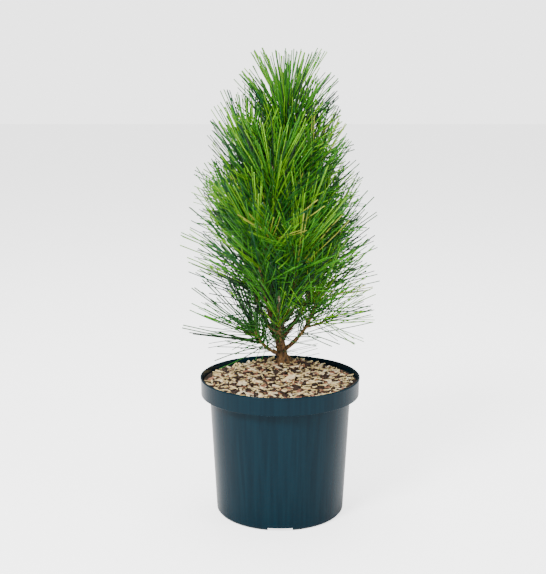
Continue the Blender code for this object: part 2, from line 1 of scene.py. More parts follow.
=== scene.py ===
import math
import random

import bmesh
import bpy
from mathutils import Matrix, Vector


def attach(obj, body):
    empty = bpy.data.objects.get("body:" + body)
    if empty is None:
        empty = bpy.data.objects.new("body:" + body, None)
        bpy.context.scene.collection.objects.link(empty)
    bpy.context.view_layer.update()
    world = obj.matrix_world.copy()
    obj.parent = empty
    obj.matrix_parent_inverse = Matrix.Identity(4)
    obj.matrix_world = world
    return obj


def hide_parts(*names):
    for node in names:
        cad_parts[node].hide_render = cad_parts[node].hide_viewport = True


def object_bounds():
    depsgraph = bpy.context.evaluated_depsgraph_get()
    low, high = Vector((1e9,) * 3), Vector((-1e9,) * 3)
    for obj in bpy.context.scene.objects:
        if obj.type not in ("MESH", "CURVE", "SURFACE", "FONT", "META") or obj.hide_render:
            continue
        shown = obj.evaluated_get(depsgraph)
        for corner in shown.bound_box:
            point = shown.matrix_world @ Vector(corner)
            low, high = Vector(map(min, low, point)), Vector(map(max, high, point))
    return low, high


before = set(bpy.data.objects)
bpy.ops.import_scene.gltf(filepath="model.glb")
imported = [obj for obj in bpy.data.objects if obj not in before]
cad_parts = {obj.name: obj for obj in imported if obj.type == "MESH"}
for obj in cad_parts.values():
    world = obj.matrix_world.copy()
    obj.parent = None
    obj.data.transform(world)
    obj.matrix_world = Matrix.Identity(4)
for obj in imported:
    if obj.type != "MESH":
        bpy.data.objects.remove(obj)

cad_low, cad_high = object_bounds()


# Pot: one injection-moulded shell of dark petrol-blue plastic. Its collar steps out under a thin
# rim, its wall tapers to a rounded foot, and it stands on a ring that four notches interrupt.
RIM_RADIUS = 0.0950
POT_HEIGHT = 0.1660
COLLAR_FOOT_RADIUS = 0.0941
COLLAR_HEIGHT = 0.0215
STEP_HEIGHT = POT_HEIGHT - COLLAR_HEIGHT
WALL_TOP_RADIUS = 0.0838
WALL_FOOT_RADIUS = 0.0764
WALL = 0.0014
LIP = 0.0020
FOOT_RING_INNER = 0.0670
FOOT_RING_OUTER = 0.0738
FOOT_EDGE = 0.0030
CENTRE_FOOT_RADIUS = 0.0200
FLOOR_UNDERSIDE = 0.0042
FLOOR_TOP = 0.0060
NOTCHES = 4
NOTCH_WIDTH = 0.0290
NOTCH_HEIGHT = 0.0038
DRAIN_HOLE_RADIUS = 0.0060
DRAIN_HOLE_REACH = 0.0540
DRAIN_HOLE_SIDES = 24
CUT_PAST = 0.0060
POT_SIDES = 144
EDGE_ROUND = 0.0008
EDGE_SHARE = 0.45
ROUND_STEPS = 3
SMOOTH_ANGLE = math.radians(38)
WELD = 1e-6
MOTTLE_DETAIL = 5
MOTTLE_CONTRAST = (0.36, 0.64)
UP = Vector((0, 0, 1))


def new_tree(name, kind, inputs, outputs):
    """A node tree with these named inputs and outputs, and the two nodes that hold them."""
    tree = bpy.data.node_groups.new(name, kind)
    for label, socket in inputs.items():
        tree.interface.new_socket(label, in_out="INPUT", socket_type="NodeSocket" + socket)
    for label, socket in outputs.items():
        tree.interface.new_socket(label, in_out="OUTPUT", socket_type="NodeSocket" + socket)
    return tree, tree.nodes.new("NodeGroupInput"), tree.nodes.new("NodeGroupOutput")


def mottle_group():
    """Shader group: soft mottling between two colours, drawn out by Stretch, and its height."""
    inputs = {"Light": "Color", "Dark": "Color", "Scale": "Float", "Stretch": "Vector"}
    group, entry, leave = new_tree("mottle", "ShaderNodeTree", inputs, {"Color": "Color", "Height": "Float"})
    nodes, links = group.nodes, group.links
    place = nodes.new("ShaderNodeTexCoord")
    drawn = nodes.new("ShaderNodeVectorMath")
    drawn.operation = "MULTIPLY"
    grain = nodes.new("ShaderNodeTexNoise")
    grain.inputs["Detail"].default_value = MOTTLE_DETAIL
    contrast = nodes.new("ShaderNodeMapRange")
    contrast.inputs["From Min"].default_value = MOTTLE_CONTRAST[0]
    contrast.inputs["From Max"].default_value = MOTTLE_CONTRAST[1]
    mix = nodes.new("ShaderNodeMix")
    mix.data_type = "RGBA"
    links.new(place.outputs["Object"], drawn.inputs[0])
    links.new(entry.outputs["Stretch"], drawn.inputs[1])
    links.new(drawn.outputs["Vector"], grain.inputs["Vector"])
    links.new(entry.outputs["Scale"], grain.inputs["Scale"])
    links.new(grain.outputs["Fac"], contrast.inputs["Value"])
    links.new(contrast.outputs["Result"], mix.inputs["Factor"])
    links.new(entry.outputs["Dark"], mix.inputs["A"])
    links.new(entry.outputs["Light"], mix.inputs["B"])
    links.new(mix.outputs["Result"], leave.inputs["Color"])
    links.new(grain.outputs["Fac"], leave.inputs["Height"])
    return group


mottle = mottle_group()


def mottled(name, light, dark, scale, roughness, stretch=(1, 1, 1), bump=0.0, depth=0.0005, shine=0.5):
    """A Principled material whose colour and relief come from the mottle group."""
    made = bpy.data.materials.new(name)
    made.use_nodes = True
    nodes, links = made.node_tree.nodes, made.node_tree.links
    shader = nodes["Principled BSDF"]
    pattern = nodes.new("ShaderNodeGroup")
    pattern.node_tree = mottle
    pattern.inputs["Light"].default_value = (*light, 1)
    pattern.inputs["Dark"].default_value = (*dark, 1)
    pattern.inputs["Scale"].default_value = scale
    pattern.inputs["Stretch"].default_value = stretch
    links.new(pattern.outputs["Color"], shader.inputs["Base Color"])
    shader.inputs["Roughness"].default_value = roughness
    shader.inputs["Specular IOR Level"].default_value = shine
    if bump:
        relief = nodes.new("ShaderNodeBump")
        relief.inputs["Strength"].default_value = bump
        relief.inputs["Distance"].default_value = depth
        links.new(pattern.outputs["Height"], relief.inputs["Height"])
        links.new(relief.outputs["Normal"], shader.inputs["Normal"])
    return made


def add_object(name, data):
    """An object at the origin that holds this mesh, light or camera."""
    made = bpy.data.objects.new(name, data)
    bpy.context.scene.collection.objects.link(made)
    return made


def smooth(mesh):
    """Shade round faces smooth, and leave true edges sharp."""
    mesh.shade_smooth()
    mesh.set_sharp_from_angle(angle=SMOOTH_ANGLE)


def new_object(name, bm):
    """An object made from this bmesh, with its faces outwards and its round ones smooth."""
    bmesh.ops.recalc_face_normals(bm, faces=bm.faces)
    mesh = bpy.data.meshes.new(name)
    bm.to_mesh(mesh)
    bm.free()
    smooth(mesh)
    return add_object(name, mesh)


def bake_modifiers(piece):
    """Turn what the piece's modifiers make into its plain mesh."""
    bpy.context.view_layer.update()
    graph = bpy.context.evaluated_depsgraph_get()
    made = bpy.data.meshes.new_from_object(piece.evaluated_get(graph))
    piece.modifiers.clear()
    piece.data = made


def give_piece(piece, finish, slot, *nodes):
    """Dress the piece, let it ride on the plant, and let it stand for the CAD nodes named."""
    piece.data.materials.clear()
    piece.data.materials.append(finish)
    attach(piece, "root")
    if nodes:
        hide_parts(*nodes)


def arc_point(start, bend, end, t):
    """The place at a share t of the curve that leaves start towards bend and arrives at end."""
    return start * (1 - t) ** 2 + bend * (2 * t * (1 - t)) + end * t * t


def rounded(corners, radius):
    """The profile's points with each inner corner turned into a short arc."""
    points = [corners[0]]
    for before, corner, after in zip(corners, corners[1:], corners[2:]):
        reach = min(radius, EDGE_SHARE * (corner - before).length, EDGE_SHARE * (after - corner).length)
        start = corner + (before - corner).normalized() * reach
        end = corner + (after - corner).normalized() * reach
        for step in range(ROUND_STEPS + 1):
            points.append(arc_point(start, corner, end, step / ROUND_STEPS))
    return [*points, corners[-1]]


def pot_shell():
    """The pot turned about Z from its profile, as one closed shell."""
    outline = (
        (0, 0),
        (CENTRE_FOOT_RADIUS, 0),
        (CENTRE_FOOT_RADIUS + FLOOR_UNDERSIDE / 2, FLOOR_UNDERSIDE),
        (FOOT_RING_INNER - FLOOR_UNDERSIDE / 2, FLOOR_UNDERSIDE),
        (FOOT_RING_INNER, 0),
        (FOOT_RING_OUTER, 0),
        (WALL_FOOT_RADIUS, FOOT_EDGE),
        (WALL_TOP_RADIUS, STEP_HEIGHT - EDGE_ROUND),
        (WALL_TOP_RADIUS + EDGE_ROUND, STEP_HEIGHT),
        (COLLAR_FOOT_RADIUS, STEP_HEIGHT),
        (RIM_RADIUS - LIP / 3, POT_HEIGHT - LIP),
        (RIM_RADIUS, POT_HEIGHT - LIP),
        (RIM_RADIUS, POT_HEIGHT),
        (RIM_RADIUS - LIP, POT_HEIGHT),
        (COLLAR_FOOT_RADIUS - LIP, STEP_HEIGHT + WALL),
        (WALL_TOP_RADIUS - WALL, STEP_HEIGHT + WALL - EDGE_ROUND),
        (WALL_FOOT_RADIUS - WALL, FLOOR_TOP),
        (0, FLOOR_TOP),
    )
    bm = bmesh.new()
    profile = rounded([Vector((radius, 0, height)) for radius, height in outline], EDGE_ROUND)
    points = [bm.verts.new(point) for point in profile]
    edges = [bm.edges.new(pair) for pair in zip(points, points[1:])]
    bmesh.ops.spin(
        bm, geom=points + edges, cent=(0, 0, 0), axis=UP, angle=math.tau, steps=POT_SIDES, use_merge=True
    )
    bmesh.ops.remove_doubles(bm, verts=bm.verts, dist=WELD)
    return new_object("pot_shell", bm)


def pot_cutters():
    """The notches of the foot ring and the drain holes, as one cutting tool."""
    bm = bmesh.new()
    reach = (FOOT_RING_INNER + WALL_FOOT_RADIUS) / 2
    depth = WALL_FOOT_RADIUS - FOOT_RING_INNER + CUT_PAST
    notch = Matrix.Diagonal((depth, NOTCH_WIDTH, 2 * NOTCH_HEIGHT, 1))
    for number in range(NOTCHES):
        turn = Matrix.Rotation(math.tau * number / NOTCHES, 4, "Z")
        bmesh.ops.create_cube(bm, size=1, matrix=turn @ Matrix.Translation((reach, 0, 0)) @ notch)
        bmesh.ops.create_cone(
            bm,
            cap_ends=True,
            segments=DRAIN_HOLE_SIDES,
            radius1=DRAIN_HOLE_RADIUS,
            radius2=DRAIN_HOLE_RADIUS,
            depth=4 * FLOOR_TOP,
            matrix=turn @ Matrix.Translation((DRAIN_HOLE_REACH, 0, 0)),
        )
    return new_object("pot_cutters", bm)


pot = pot_shell()
cutters = pot_cutters()
cut = pot.modifiers.new("notches", "BOOLEAN")
cut.operation = "DIFFERENCE"
cut.solver = "EXACT"
cut.object = cutters
bake_modifiers(pot)
bpy.data.objects.remove(cutters)
smooth(pot.data)
petrol_plastic = mottled(
    "petrol_plastic",
    light=(0.0016, 0.0185, 0.030),
    dark=(0.0010, 0.0135, 0.023),
    scale=190,
    roughness=0.22,
    stretch=(1, 1, 0.02),
    bump=0.04,
    depth=0.0002,
    shine=0.12,
)
give_piece(pot, petrol_plastic, "pot", "pot")


# Potting mix: the dark damp compost under the bark, heaped a little round the trunk. It fills
# the pot, and shows only as near-black gaps between the chips.
damp_mix = mottled(
    "damp_mix",
    light=(0.045, 0.024, 0.012),
    dark=(0.004, 0.003, 0.002),
    scale=420,
    roughness=0.95,
    bump=0.9,
    depth=0.001,
)
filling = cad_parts["bark_filling"]
filling.data.materials.clear()
filling.data.materials.append(damp_mix)


# Mulch: shredded bark and wood that is strewn by hand on the mix. Half of it is straw-coloured
# and cream slivers of 10 to 23 mm. Shorter pinkish and dark brown bark lies between them, with a
# few broad pale chips.
CHIP_BED_RADIUS = 0.0838
CHIP_BED_LIFT = 0.0005
BED_OVER_STEP = 0.0040
BED_LEAST_LEVEL = 0.3
SPLINTER_GRID = {"X": 6, "Y": 3, "Z": 2}
CHIP_SMALLEST = (0.55, 0.5, 0.6)
CHIP_BIGGEST = (1.0, 1.6, 1.5)
CHIP_WARP = 0.0014
CHIP_WARP_SCALE = 190
CHIP_TILT = 0.30
CHIP_SEED = 7
# Each kind: how many, its length, width and thickness, and its light and dark colour.
CHIP_KINDS = {
    "straw": (520, (0.0230, 0.0015, 0.0008), (0.96, 0.80, 0.42), (0.66, 0.46, 0.18)),
    "cream": (170, (0.0190, 0.0025, 0.0009), (0.98, 0.88, 0.62), (0.76, 0.58, 0.33)),
    "pink": (210, (0.0120, 0.0034, 0.0010), (0.46, 0.22, 0.13), (0.20, 0.085, 0.045)),
    "umber": (480, (0.0140, 0.0040, 0.0011), (0.060, 0.026, 0.014), (0.012, 0.006, 0.004)),
    "broad": (14, (0.0190, 0.0066, 0.0011), (0.96, 0.82, 0.54), (0.70, 0.50, 0.27)),
}


def chip_tree():
    """Geometry nodes that strew warped, flat splinters over a surface."""
    inputs = {
        "Geometry": "Geometry",
        "Density": "Float",
        "Chip Size": "Vector",
        "Warp": "Float",
        "Tilt": "Float",
        "Seed": "Int",
        "Finish": "Material",
    }
    tree, entry, leave = new_tree("strewn_chips", "GeometryNodeTree", inputs, {"Geometry": "Geometry"})
    nodes, links = tree.nodes, tree.links
    strew = nodes.new("GeometryNodeDistributePointsOnFaces")
    splinter = nodes.new("GeometryNodeMeshCube")
    for axis, count in SPLINTER_GRID.items():
        splinter.inputs["Vertices " + axis].default_value = count
    lay = nodes.new("GeometryNodeInstanceOnPoints")
    tip_back = nodes.new("ShaderNodeMath")
    tip_back.operation = "MULTIPLY"
    tip_back.inputs[1].default_value = -1
    least = nodes.new("ShaderNodeCombineXYZ")
    most = nodes.new("ShaderNodeCombineXYZ")
    most.inputs["Z"].default_value = math.tau
    turn = nodes.new("FunctionNodeRandomValue")
    turn.data_type = "FLOAT_VECTOR"
    stretch = nodes.new("FunctionNodeRandomValue")
    stretch.data_type = "FLOAT_VECTOR"
    stretch.inputs["Min"].default_value = CHIP_SMALLEST
    stretch.inputs["Max"].default_value = CHIP_BIGGEST
    realize = nodes.new("GeometryNodeRealizeInstances")
    place = nodes.new("GeometryNodeInputPosition")
    grain = nodes.new("ShaderNodeTexNoise")
    grain.inputs["Scale"].default_value = CHIP_WARP_SCALE
    centre = nodes.new("ShaderNodeVectorMath")
    centre.operation = "SUBTRACT"
    centre.inputs[1].default_value = (0.5, 0.5, 0.5)
    spread = nodes.new("ShaderNodeVectorMath")
    spread.operation = "SCALE"
    bend = nodes.new("GeometryNodeSetPosition")
    paint = nodes.new("GeometryNodeSetMaterial")
    links.new(entry.outputs["Geometry"], strew.inputs["Mesh"])
    links.new(entry.outputs["Density"], strew.inputs["Density"])
    links.new(entry.outputs["Seed"], strew.inputs["Seed"])
    links.new(entry.outputs["Seed"], turn.inputs["Seed"])
    links.new(entry.outputs["Chip Size"], splinter.inputs["Size"])
    links.new(entry.outputs["Tilt"], tip_back.inputs[0])
    for axis in ("X", "Y"):
        links.new(tip_back.outputs[0], least.inputs[axis])
        links.new(entry.outputs["Tilt"], most.inputs[axis])
    links.new(least.outputs["Vector"], turn.inputs["Min"])
    links.new(most.outputs["Vector"], turn.inputs["Max"])
    links.new(strew.outputs["Points"], lay.inputs["Points"])
    links.new(splinter.outputs["Mesh"], lay.inputs["Instance"])
    links.new(turn.outputs["Value"], lay.inputs["Rotation"])
    links.new(stretch.outputs["Value"], lay.inputs["Scale"])
    links.new(lay.outputs["Instances"], realize.inputs["Geometry"])
    links.new(place.outputs["Position"], grain.inputs["Vector"])
    links.new(grain.outputs["Color"], centre.inputs[0])
    links.new(centre.outputs["Vector"], spread.inputs[0])
    links.new(entry.outputs["Warp"], spread.inputs["Scale"])
    links.new(realize.outputs["Geometry"], bend.inputs["Geometry"])
    links.new(spread.outputs["Vector"], bend.inputs["Offset"])
    links.new(bend.outputs["Geometry"], paint.inputs["Geometry"])
    links.new(entry.outputs["Finish"], paint.inputs["Material"])
    links.new(paint.outputs["Geometry"], leave.inputs["Geometry"])
    return tree


def grow_nodes(piece, tree, values):
    """Run a geometry-nodes tree on the piece with these named values, and keep the plain mesh."""
    modifier = piece.modifiers.new(tree.name, "NODES")
    modifier.node_group = tree
    for item in tree.interface.items_tree:
        if item.in_out == "INPUT" and item.name in values:
            modifier[item.identifier] = values[item.name]
    bake_modifiers(piece)


def is_bed(face):
    """True for a face of the filling that looks up and lies above the pot's step."""
    return face.normal.z >= BED_LEAST_LEVEL and face.calc_center_median().z >= STEP_HEIGHT + BED_OVER_STEP


def chip_bed():
    """The top of the mix, drawn in so that no chip reaches through the collar, and its area."""
    bm = bmesh.new()
    bm.from_mesh(filling.data)
    bmesh.ops.remove_doubles(bm, verts=bm.verts, dist=WELD)
    bmesh.ops.delete(bm, geom=[face for face in bm.faces if not is_bed(face)], context="FACES")
    for vert in bm.verts:
        reach = math.hypot(vert.co.x, vert.co.y)
        if reach > CHIP_BED_RADIUS:
            vert.co.x *= CHIP_BED_RADIUS / reach
            vert.co.y *= CHIP_BED_RADIUS / reach
        vert.co.z += CHIP_BED_LIFT
    area = sum(face.calc_area() for face in bm.faces)
    mesh = bpy.data.meshes.new("chip_bed")
    bm.to_mesh(mesh)
    bm.free()
    return mesh, area


strew_chips = chip_tree()
bed, bed_area = chip_bed()
for number, (kind, (count, size, light, dark)) in enumerate(CHIP_KINDS.items()):
    wood = mottled("chips_" + kind, light, dark, scale=330, roughness=0.82, bump=0.6, depth=0.0006)
    chips = add_object("chips_" + kind, bed)
    values = {"Density": count / bed_area, "Chip Size": size, "Warp": CHIP_WARP, "Tilt": CHIP_TILT}
    grow_nodes(chips, strew_chips, {**values, "Seed": CHIP_SEED + number, "Finish": wood})
    give_piece(chips, wood, "filling")


# Trunk and boughs: one slender leader that leans a little left and then right, with a flared
# foot, and the bare feet of its side shoots. Their golden-brown bark is rough with old scales.
TRUNK_FOOT_HEIGHT = 0.1780
TRUNK_TIP_HEIGHT = 0.4810
TRUNK_RISE = TRUNK_TIP_HEIGHT - TRUNK_FOOT_HEIGHT
TRUNK_LEAN = (
    (0.0050, 0.0120, 0.1780),
    (0.0000, 0.0085, 0.2050),
    (-0.0050, 0.0050, 0.2450),
    (-0.0025, 0.0020, 0.3100),
    (0.0035, 0.0000, 0.3800),
    (0.0065, 0.0000, 0.4300),
    (0.0070, 0.0000, 0.4810),
)
TRUNK_RADIUS = 0.0062
TRUNK_TIP_RADIUS = 0.0027
TRUNK_RINGS = 60
TRUNK_SIDES = 22
FLARE = 0.0036
FLARE_HEIGHT = 0.0120
FLARE_LOBES = 5
FLARE_LOBE_DEPTH = 0.22
# Each shoot: its azimuth in degrees, the height of its foot, its reach, the height of its tip,
# the length of its needles and how many twigs it carries.
SHOOTS = {
    "left_low": (206, 0.1880, 0.036, 0.2240, 0.098, 1),
    "back_low": (88, 0.1910, 0.044, 0.2660, 0.096, 1),
    "right_low": (338, 0.1930, 0.046, 0.2740, 0.088, 1),
    "front_low": (266, 0.1975, 0.038, 0.2600, 0.086, 1),
    "left_middle": (174, 0.2050, 0.046, 0.3480, 0.090, 3),
    "right_middle": (8, 0.2080, 0.052, 0.3320, 0.086, 3),
    "back_left": (118, 0.2120, 0.046, 0.3440, 0.096, 3),
    "back_right": (58, 0.2160, 0.046, 0.3520, 0.096, 3),
    "front_left": (236, 0.2150, 0.044, 0.3420, 0.092, 3),
    "front_right": (304, 0.2200, 0.044, 0.3360, 0.092, 3),
    "right_upper": (344, 0.2580, 0.043, 0.4160, 0.080, 3),
    "left_upper": (198, 0.2640, 0.032, 0.4340, 0.080, 1),
    "front_upper": (264, 0.2700, 0.035, 0.4080, 0.084, 1),
    "back_upper": (128, 0.2740, 0.036, 0.4200, 0.086, 1),
    "top_shoot": (50, 0.2780, 0.032, 0.4460, 0.082, 1),
}
BOUGH_RADIUS = 0.0027
SHOOT_TIP_RADIUS = 0.0020
BOUGH_TAPER_LENGTH = 0.17
BOUGH_RINGS = 8
BOUGH_SIDES = 14
BARE_SHARE = 0.28
BEND_REACH = 0.86
BEND_RISE = 0.34
CURVE_STEPS = 24
GOLDEN_ANGLE = math.radians(137.508)
BARK_SCALE = 0.0034
BARK_SPIRALS = (2, 3)
BARK_CROSSING_PITCH = 0.62
BARK_SHARES = (0.6, 0.4)
BARK_SUNK_SHARE = 0.35
BARK_DEPTH = 0.00055
BOUGH_BARK_DEPTH = BARK_DEPTH * 0.8
BARK_RING_SPACING = 0.0009
ACROSS_GUIDE = Vector((0.3, 0.9, 0.1))


def smoothstep(share):
    """A share from 0 to 1 that starts and ends gently."""
    share = min(max(share, 0.0), 1.0)
    return share * share * (3 - 2 * share)


def trunk_axis(height):
    """The leader's axis at a height, on a smooth curve through its leaning points."""
    points = [Vector(point) for point in TRUNK_LEAN]
    last = len(points) - 2
    at = next((i for i in range(last) if height < points[i + 1].z), last)
    before, start = points[max(at - 1, 0)], points[at]
    end, after = points[at + 1], points[min(at + 2, len(points) - 1)]
    share = (height - start.z) / (end.z - start.z)
    slope_in = (end - before) * ((end.z - start.z) / (end.z - before.z))
    slope_out = (after - start) * ((end.z - start.z) / (after.z - start.z))
    place = start.lerp(end, smoothstep(share))
    place += slope_in * share * (1 - share) ** 2 + slope_out * share * share * (share - 1)
    return Vector((place.x, place.y, height))


class Path:
    """A smooth limb's points, with its length and its frame at any distance along it."""

    def __init__(self, points):
        self.points = points
        self.reached = [0.0]
        for start, end in zip(points, points[1:]):
            self.reached.append(self.reached[-1] + (end - start).length)
        self.length = self.reached[-1]

    def at(self, distance):
        """The place at a distance along the limb, and the way the limb runs there."""
        last = len(self.points) - 1
        i = next((i for i in range(1, last) if distance < self.reached[i]), last)
        start, end = self.points[i - 1], self.points[i]
        share = (distance - self.reached[i - 1]) / (self.reached[i] - self.reached[i - 1])
        return start.lerp(end, share), (end - start).normalized()

    def across(self, distance, turn):
        """The way straight out of the limb at a distance along it and a turn round it."""
        _, along = self.at(distance)
        side = along.cross(ACROSS_GUIDE).normalized()
        return side * math.cos(turn) + along.cross(side) * math.sin(turn)

    def first(self, share, steps):
        """The limb's first stretch, as a limb of its own."""
        return Path([self.at(self.length * share * i / steps)[0] for i in range(steps + 1)])


def side_shoot(azimuth, foot, reach, tip):
    """A side shoot's path: out of the trunk at a slant, then up to its tip."""
    turn = math.radians(azimuth)
    outward = Vector((math.cos(turn), math.sin(turn), 0))
    start = trunk_axis(foot)
    rise = tip - foot
    bend = start + outward * reach * BEND_REACH + UP * rise * BEND_RISE
    end = start + outward * reach + UP * rise
    return Path([arc_point(start, bend, end, i / CURVE_STEPS) for i in range(CURVE_STEPS + 1)])


def bark_relief(distance, turn):
    """How far the scales of the bark stand out: each is a leaning plate in a spiral."""
    wound = distance / BARK_SCALE + turn * BARK_SPIRALS[0] / math.tau
    crossing = distance / BARK_SCALE * BARK_CROSSING_PITCH - turn * BARK_SPIRALS[1] / math.tau
    return BARK_SHARES[0] * (wound % 1.0) ** 2 + BARK_SHARES[1] * (crossing % 1.0) ** 2


def skin(bm, rows):
    """Close the rings of points into a tube with flat ends."""
    sides = len(rows[0])
    for row, following in zip(rows, rows[1:]):
        for k in range(sides):
            bm.faces.new((row[k], row[(k + 1) % sides], following[(k + 1) % sides], following[k]))
    bm.faces.new(rows[0])
    bm.faces.new(rows[-1])


def add_limb(bm, path, radius_at, sides, spacing, depth, start=0.0):
    """A closed tube along the path with the bark's relief on it."""
    steps = max(int((path.length - start) / spacing), 2)
    rows = []
    for step in range(steps + 1):
        distance = start + (path.length - start) * step / steps
        place, _ = path.at(distance)
        row = []
        for k in range(sides):
            turn = math.tau * k / sides
            radius = radius_at(distance, turn) + depth * (bark_relief(distance, turn) - BARK_SUNK_SHARE)
            row.append(bm.verts.new(place + path.across(distance, turn) * radius))
        rows.append(row)
    skin(bm, rows)


def trunk_radius(distance, turn):
    """An even taper, widened at the ground into a few low root lobes."""
    taper = TRUNK_RADIUS + (TRUNK_TIP_RADIUS - TRUNK_RADIUS) * min(distance / TRUNK_RISE, 1)
    flare = 1 - smoothstep(distance / FLARE_HEIGHT)
    return (taper + FLARE * flare) * (1 + FLARE_LOBE_DEPTH * flare * math.cos(FLARE_LOBES * turn))


def bough_radius(distance, _turn):
    """An even taper out from the trunk."""
    return BOUGH_RADIUS + (SHOOT_TIP_RADIUS - BOUGH_RADIUS) * min(distance / BOUGH_TAPER_LENGTH, 1)


leader_heights = [TRUNK_FOOT_HEIGHT + TRUNK_RISE * i / TRUNK_RINGS for i in range(TRUNK_RINGS + 1)]
leader = Path([trunk_axis(height) for height in leader_heights])
shoots = [side_shoot(azimuth, foot, reach, tip) for azimuth, foot, reach, tip, _, _ in SHOOTS.values()]
old_bark = mottled(
    "old_bark",
    light=(0.230, 0.120, 0.042),
    dark=(0.030, 0.014, 0.006),
    scale=380,
    roughness=0.88,
    stretch=(1, 1, 0.5),
    bump=0.8,
    depth=0.0008,
)
trunk_mesh = bmesh.new()
add_limb(trunk_mesh, leader, trunk_radius, TRUNK_SIDES, BARK_RING_SPACING, BARK_DEPTH)
give_piece(new_object("trunk_bark", trunk_mesh), old_bark, "bark", "trunk")
bough_mesh = bmesh.new()
for shoot in shoots:
    bare = shoot.first(BARE_SHARE, BOUGH_RINGS)
    add_limb(bough_mesh, bare, bough_radius, BOUGH_SIDES, BARK_RING_SPACING, BOUGH_BARK_DEPTH)
bough_nodes = [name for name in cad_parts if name.startswith("bough_")]
give_piece(new_object("bough_bark", bough_mesh), old_bark, "bark", *bough_nodes)


# Buds: the fat bud on the leader and a small one on each shoot, wrapped in overlapping papery
# scales. They are mottled cream and brown, and stand a little out from the bud's slim core.
BUD_HEIGHT = 0.0180
BUD_RADIUS = 0.0036
BUD_SCALES = 46
SHOOT_BUD_HEIGHT = 0.0110
SHOOT_BUD_RADIUS = 0.0024
SHOOT_BUD_SCALES = 23
# The core's outline and a scale's measures are shares of the bud's own height and radius.
BUD_CORE = ((0, 0.62), (0.18, 0.86), (0.45, 0.78), (0.75, 0.42), (0.97, 0.06))
BUD_SIDES = 10
SCALES_TOP = 0.78
SCALE_SEAT = 0.80
SCALE_SEAT_LOSS = 0.75
SCALE_SEAT_CURVE = 2.2
SCALE_HALF_WIDTH = 0.42
SCALE_HALF_WIDTH_LOSS = 0.20
SCALE_LENGTH = 0.24
SCALE_LENGTH_LOSS = 0.04
SCALE_STAND = 0.20
SCALE_STAND_LOSS = 0.24
SCALE_THICKNESS = 0.30
SCALE_HEEL = 0.03


def add_bud(bm, foot, along, height, radius, scales):
    """A slim core and pointed scales in a spiral round it, each a thin closed wedge."""
    side = along.orthogonal().normalized()
    other = along.cross(side)
    turns = [math.tau * k / BUD_SIDES for k in range(BUD_SIDES)]
    ways = [side * math.cos(turn) + other * math.sin(turn) for turn in turns]
    rows = []
    for rise, width in BUD_CORE:
        rows.append([bm.verts.new(foot + along * height * rise + way * radius * width) for way in ways])
    skin(bm, rows)
    for number in range(scales):
        share = number / scales
        turn = GOLDEN_ANGLE * number
        outward = side * math.cos(turn) + other * math.sin(turn)
        across = along.cross(outward)
        seat = SCALE_SEAT * (1 - SCALE_SEAT_LOSS * share**SCALE_SEAT_CURVE)
        root = foot + along * height * SCALES_TOP * share + outward * radius * seat
        half = radius * (SCALE_HALF_WIDTH - SCALE_HALF_WIDTH_LOSS * share)
        reach = along * height * (SCALE_LENGTH - SCALE_LENGTH_LOSS * share)
        stand = outward * radius * (SCALE_STAND - SCALE_STAND_LOSS * share)
        left = bm.verts.new(root - across * half)
        right = bm.verts.new(root + across * half)
        back = bm.verts.new(root - outward * radius * SCALE_THICKNESS - along * height * SCALE_HEEL)
        tip = bm.verts.new(root + reach + stand)
        for corners in ((left, right, tip), (right, back, tip), (back, left, tip), (left, back, right)):
            bm.faces.new(corners)


papery_scales = mottled(
    "papery_scales", light=(0.83, 0.67, 0.47), dark=(0.30, 0.155, 0.075), scale=620, roughness=0.7, bump=0.5
)
bud_mesh = bmesh.new()
add_bud(bud_mesh, leader.points[-1], UP, BUD_HEIGHT, BUD_RADIUS, BUD_SCALES)
give_piece(new_object("leader_bud_scales", bud_mesh), papery_scales, "bud", "leader_bud")
bud_mesh = bmesh.new()
for shoot in shoots:
    tip, along = shoot.at(shoot.length)
    add_bud(bud_mesh, tip, along, SHOOT_BUD_HEIGHT, SHOOT_BUD_RADIUS, SHOOT_BUD_SCALES)
give_piece(new_object("shoot_buds", bud_mesh), papery_scales, "bud")


# Shoot stems and twigs: the stretches that carry needles, green-brown and ribbed with the pegs
# that the needle pairs stand on. Each grows on from its bough, and carries one short side twig,
# or three on the seven fullest shoots.
STEM_SIDES = 9
TWIG_SIDES = 7
PEG_SPACING = 0.0012
PEG_DEPTH = 0.0005
TWIG_PEG_DEPTH = PEG_DEPTH * 0.7
TWIG_LENGTH = 0.032
TWIG_OPENING = math.radians(36)
TWIG_SAG = 0.07
TWIG_RADIUS = 0.0016
TWIG_TAPER = 0.35
TWIG_STEPS = 4
FIRST_TWIG = 0.46
TWIG_SPACING = 0.16
TWIG_BARE_SHARE = 0.3
TWIG_NEEDLE_SHARE = 0.70
TWIG_SEED = 500


def stem_radius(_distance, _turn):
    """A shoot keeps one thickness where it carries needles."""
    return SHOOT_TIP_RADIUS


def twig_radius(distance, _turn):
    """A twig tapers evenly to its tip."""
    return TWIG_RADIUS * (1 - TWIG_TAPER * distance / TWIG_LENGTH)


def side_twig(shoot, share, turn):
    """A short twig that leaves its shoot at a slant and curves up."""
    distance = shoot.length * share
    place, along = shoot.at(distance)
    way = along * math.cos(TWIG_OPENING) + shoot.across(distance, turn) * math.sin(TWIG_OPENING)
    bend = place + way * TWIG_LENGTH / 2 - UP * TWIG_LENGTH * TWIG_SAG
    end = place + way * TWIG_LENGTH
    return Path([arc_point(place, bend, end, i / TWIG_STEPS) for i in range(TWIG_STEPS + 1)])


